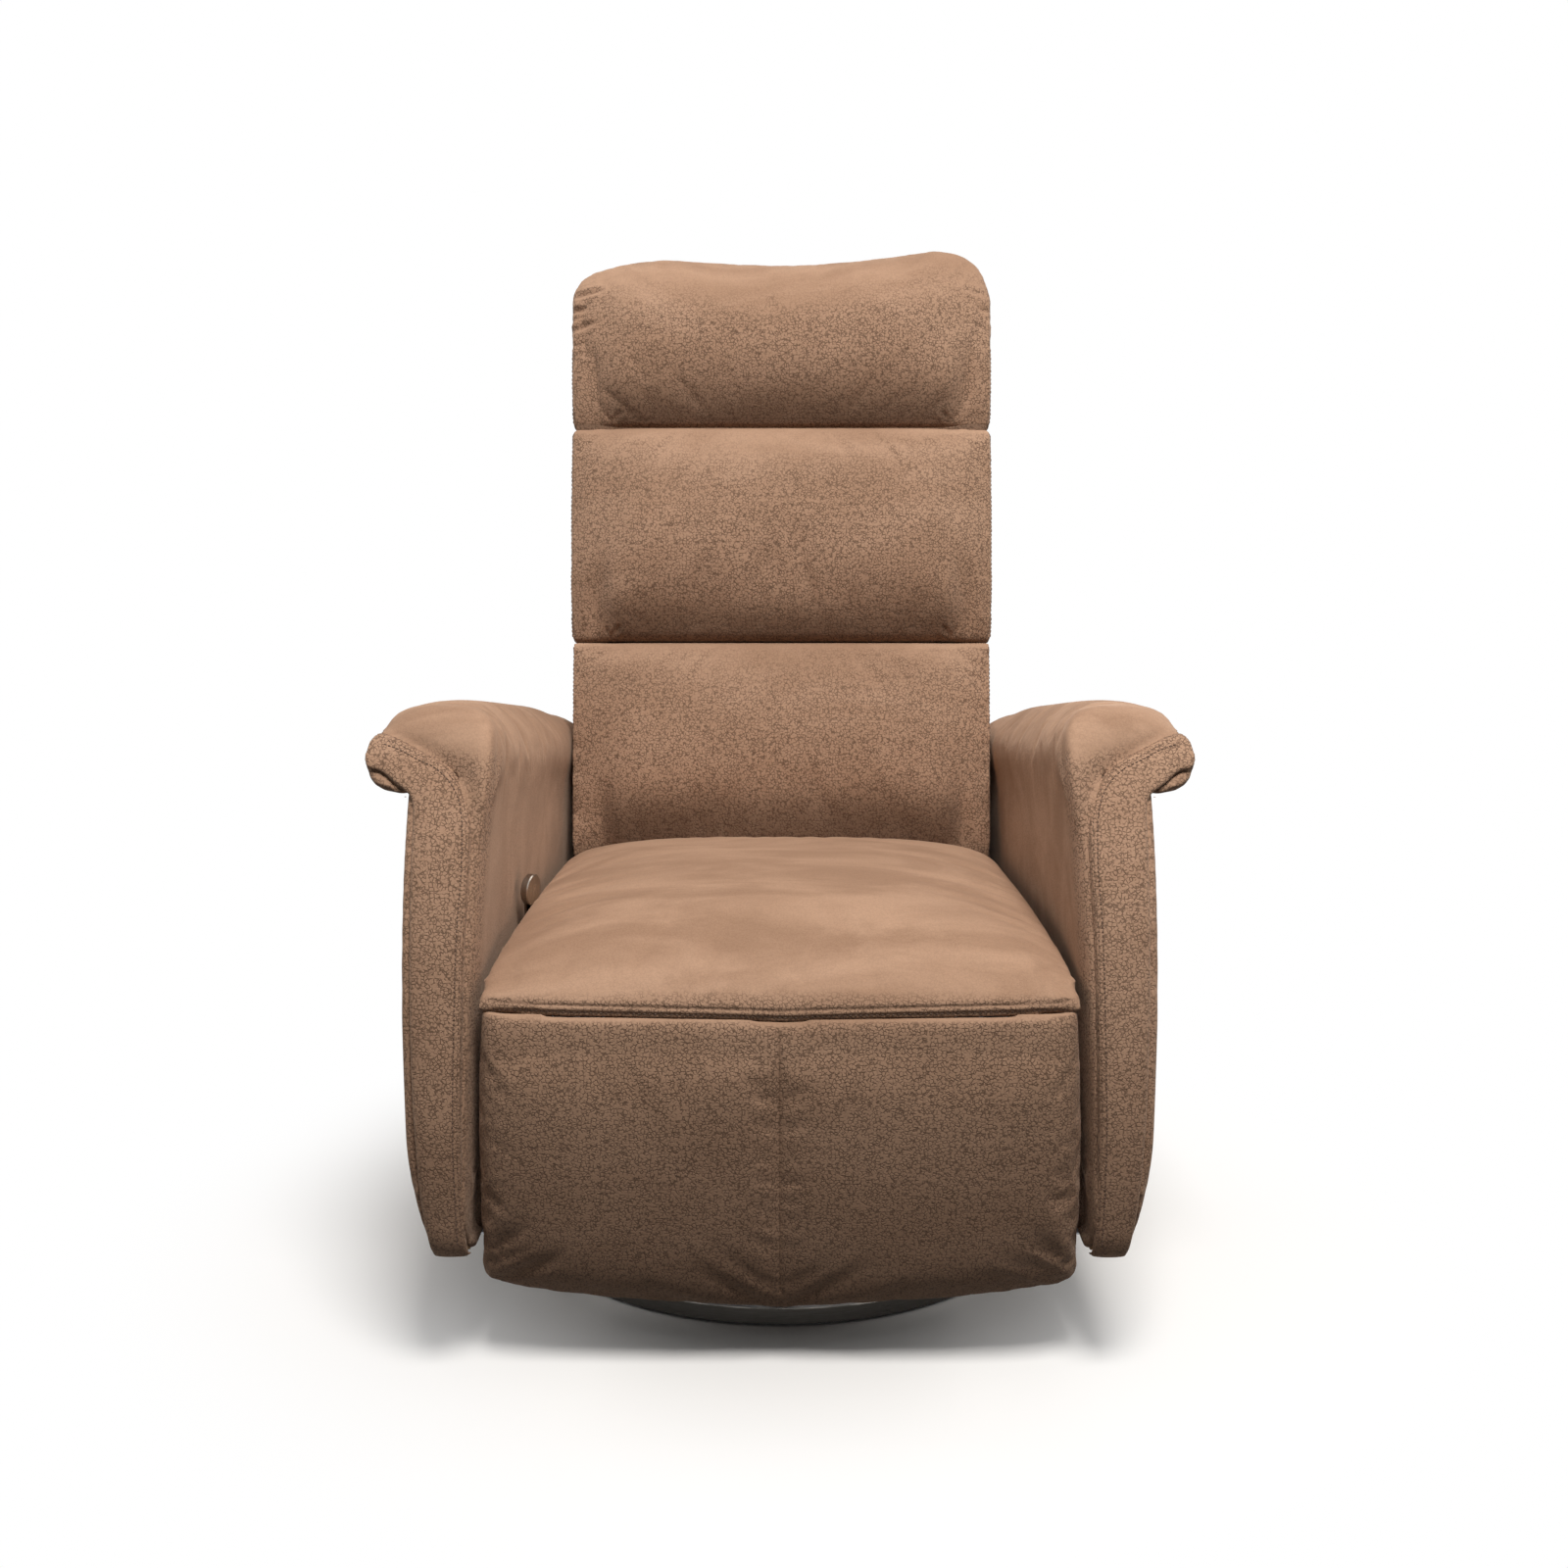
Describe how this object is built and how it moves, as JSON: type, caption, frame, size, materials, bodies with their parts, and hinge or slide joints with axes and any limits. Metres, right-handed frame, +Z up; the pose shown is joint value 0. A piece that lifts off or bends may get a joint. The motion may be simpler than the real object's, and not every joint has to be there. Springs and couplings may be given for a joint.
{
  "type": "swivel recliner",
  "caption": "Upholstered armchair on a round swivel base, with a tilting seat and back, a swing-out footrest and a tilting headrest.",
  "frame": {"origin": "on the floor, on the swivel axis, in the middle of the round base", "axes": "+Z up, the sitter faces -Y, +X on the sitter's left"},
  "size_m": [0.784, 0.7972, 1.1445],
  "materials": {
    "nubuck": "brown microfibre faux leather with a brushed, nubuck-like nap and a fine pebbled grain",
    "wood_dark": "dark stained veneer under gloss lacquer",
    "rim_metal": "brushed metal band",
    "ballast_steel": "black powder coat on steel plate",
    "rubber_black": "black moulded rubber",
    "steel_black": "black powder coat on steel",
    "steel_zinc": "zinc-plated steel",
    "ball_steel": "polished bearing steel",
    "rod_chrome": "hard chrome on steel",
    "plywood": "birch plywood, unfinished",
    "webbing": "woven elastic webbing",
    "lever_nickel": "satin nickel plate",
    "plastic_black": "black moulded plastic"
  },
  "bodies": {
    "base": {"base_disc": "wood_dark", "base_rim": "rim_metal", "ballast_plate": "ballast_steel", "floor_glides": "rubber_black", "swivel_housing": "steel_black", "housing_screws": "steel_zinc", "lower_race": "steel_zinc", "bearing_balls": "ball_steel"},
    "chassis": {"upper_race": "steel_zinc", "swivel_spindle": "steel_black", "spindle_clip": "steel_zinc", "plate_bolts": "steel_zinc", "chassis_rails": "steel_black", "chassis_beams": "steel_black", "tilt_ears": "steel_black", "tilt_pins": "steel_zinc", "gas_spring_ears": "steel_black", "gas_pin_lower": "steel_zinc", "arm_bolts": "steel_zinc", "arm_frame_left": "plywood", "arm_frame_right": "plywood", "arm_outer_left": "nubuck", "arm_outer_right": "nubuck", "arm_inner_left": "nubuck", "arm_inner_right": "nubuck", "arm_pad_left": "nubuck", "arm_pad_right": "nubuck", "arm_facing_left": "nubuck", "arm_facing_right": "nubuck"},
    "seat": {"cradle_plates": "steel_black", "seat_frame": "steel_black", "seat_webbing": "webbing", "seat_cushion": "nubuck", "gas_spring_yoke": "steel_black", "gas_pin_upper": "steel_zinc", "back_brackets": "steel_black", "back_board": "plywood", "back_shell": "nubuck", "back_roll_lower": "nubuck", "back_roll_middle": "nubuck", "headrest_leaves": "steel_black", "headrest_rod": "steel_zinc", "footrest_straps": "steel_black", "footrest_pins": "steel_zinc", "lever_bush": "plastic_black", "release_cable": "plastic_black"},
    "headrest": {"headrest_board": "plywood", "headrest_arms": "steel_black", "head_roll": "nubuck"},
    "footrest_carrier": {"footrest_rails": "steel_black", "footrest_brackets": "steel_black"},
    "footrest": {"footrest_board": "plywood", "footrest_runners": "steel_zinc", "footrest_pad": "nubuck", "footrest_feet": "rubber_black"},
    "stays": {"footrest_stays": "steel_black"},
    "gas_cylinder": {"gas_cylinder": "steel_black"},
    "gas_rod": {"gas_rod": "rod_chrome"},
    "lever": {"release_lever": "lever_nickel"}
  },
  "joints": [
    {"name": "swivel", "type": "hinge", "parent": "base", "child": "chassis", "pos_m": [0, 0, 0.061], "axis": [0, 0, 1], "continuous": true},
    {"name": "recline", "type": "hinge", "parent": "chassis", "child": "seat", "pos_m": [0, -0.19, 0.104], "axis": [-1, 0, 0], "range_deg": [0, 18]},
    {"name": "headrest_tilt", "type": "hinge", "parent": "seat", "child": "headrest", "pos_m": [0, 0.1714, 0.928], "axis": [1, 0, 0], "range_deg": [0, 25]},
    {"name": "footrest_swing", "type": "hinge", "parent": "seat", "child": "footrest_carrier", "pos_m": [0, -0.442, 0.378], "axis": [-1, 0, 0], "range_deg": [0, 80]},
    {"name": "footrest_slide", "type": "slide", "parent": "footrest_carrier", "child": "footrest", "axis": [0, 0.1805, -0.9836], "range_m": [0, 0.116]},
    {"name": "stay_turn", "type": "hinge", "parent": "footrest_carrier", "child": "stays", "pos_m": [0, -0.32246, 0.20473], "axis": [1, 0, 0], "range_deg": [0, 40]},
    {"name": "gas_turn", "type": "hinge", "parent": "chassis", "child": "gas_cylinder", "pos_m": [0, 0.1, 0.146], "axis": [1, 0, 0], "range_deg": [0, 0.514]},
    {"name": "gas_stroke", "type": "slide", "parent": "gas_cylinder", "child": "gas_rod", "axis": [0, 0.8177, -0.5757], "range_m": [0, 0.0635]},
    {"name": "lever_pull", "type": "hinge", "parent": "seat", "child": "lever", "pos_m": [-0.2655, -0.19, 0.3225], "axis": [-1, 0, 0], "range_deg": [0, 25], "stiffness_Nm_per_rad": 0.5}
  ],
  "couplings": [
    {"joint": "footrest_swing", "follows": "recline", "ratio": 4.4444},
    {"joint": "footrest_slide", "follows": "recline", "m_per_rad": 0.36924},
    {"joint": "stay_turn", "follows": "recline", "ratio": 2.2222},
    {"joint": "gas_turn", "follows": "recline", "ratio": 0.028556},
    {"joint": "gas_stroke", "follows": "recline", "m_per_rad": 0.20213}
  ]
}
